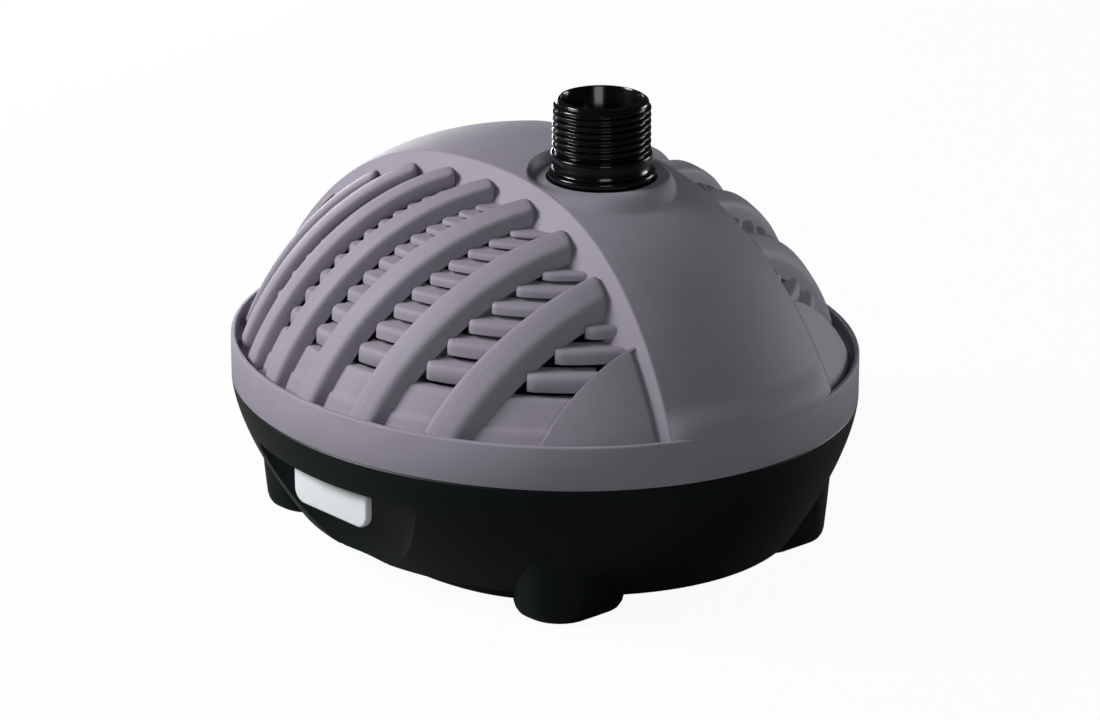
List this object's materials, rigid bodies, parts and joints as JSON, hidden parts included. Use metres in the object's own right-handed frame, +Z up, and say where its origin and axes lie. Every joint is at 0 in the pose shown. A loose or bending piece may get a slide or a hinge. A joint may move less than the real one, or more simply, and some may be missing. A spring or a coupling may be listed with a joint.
{
  "type": "pond fountain pump",
  "caption": "Submersible pond pump: a domed strainer shell with side latches lifts off a footed bowl, and a wet rotor pump inside feeds a threaded outlet on top.",
  "frame": {"origin": "on the ground under the middle of the housing", "axes": "+Z up, X along the smooth band with the outlet on the +X side, -Y towards the front latch"},
  "size_m": [0.2284, 0.2066, 0.1598],
  "materials": {
    "shell_grey": "fine grained moulded plastic",
    "bowl_dark": "satin moulded plastic",
    "latch_white": "smooth moulded plastic",
    "gloss_black": "polished moulded plastic",
    "seal_rubber": "moulded rubber",
    "pump_black": "glass filled plastic",
    "can_grey": "moulded plastic",
    "bush_black": "hard rubber",
    "ceramic_white": "polished ceramic",
    "magnet_grey": "sintered ferrite",
    "impeller_cream": "moulded plastic",
    "steel": "stainless steel",
    "laminations": "stacked sheet steel",
    "copper_wire": "enamelled copper wire"
  },
  "bodies": {
    "base": {"lower_shell": "bowl_dark", "latch_pin_front": "steel", "latch_pin_back": "steel", "outlet_fitting": "gloss_black", "outlet_seal": "seal_rubber", "riser_pipe": "pump_black", "pump_chamber": "pump_black", "inlet_cover": "pump_black", "chamber_seal": "seal_rubber", "chamber_screws": "steel", "motor_housing": "pump_black", "stator_core": "laminations", "stator_coils": "copper_wire", "rotor_can": "can_grey", "rear_bush": "bush_black", "front_bush": "bush_black", "rotor_shaft": "ceramic_white", "motor_clamp": "steel", "clamp_screws": "steel", "cable_gland": "gloss_black"},
    "shell": {"upper_shell": "shell_grey"},
    "front_latch": {"latch_front": "latch_white", "latch_spring_front": "steel"},
    "back_latch": {"latch_back": "latch_white", "latch_spring_back": "steel"},
    "rotor": {"rotor_magnet": "magnet_grey", "impeller": "impeller_cream"}
  },
  "joints": [
    {"name": "shell_lift", "type": "slide", "parent": "base", "child": "shell", "axis": [0, 0, 1], "range_m": [0, 0.112]},
    {"name": "latch_front_press", "type": "hinge", "parent": "base", "child": "front_latch", "pos_m": [0, -0.0935, 0.0455], "axis": [1, 0, 0], "range_deg": [0, 9], "stiffness_Nm_per_rad": 0.15, "springref_deg": -5.73},
    {"name": "latch_back_press", "type": "hinge", "parent": "base", "child": "back_latch", "pos_m": [0, 0.0935, 0.0455], "axis": [-1, 0, 0], "range_deg": [0, 9], "stiffness_Nm_per_rad": 0.15, "springref_deg": -5.73},
    {"name": "rotor_spin", "type": "hinge", "parent": "base", "child": "rotor", "pos_m": [0, 0.015, 0.054], "axis": [1, 0, 0], "continuous": true}
  ]
}
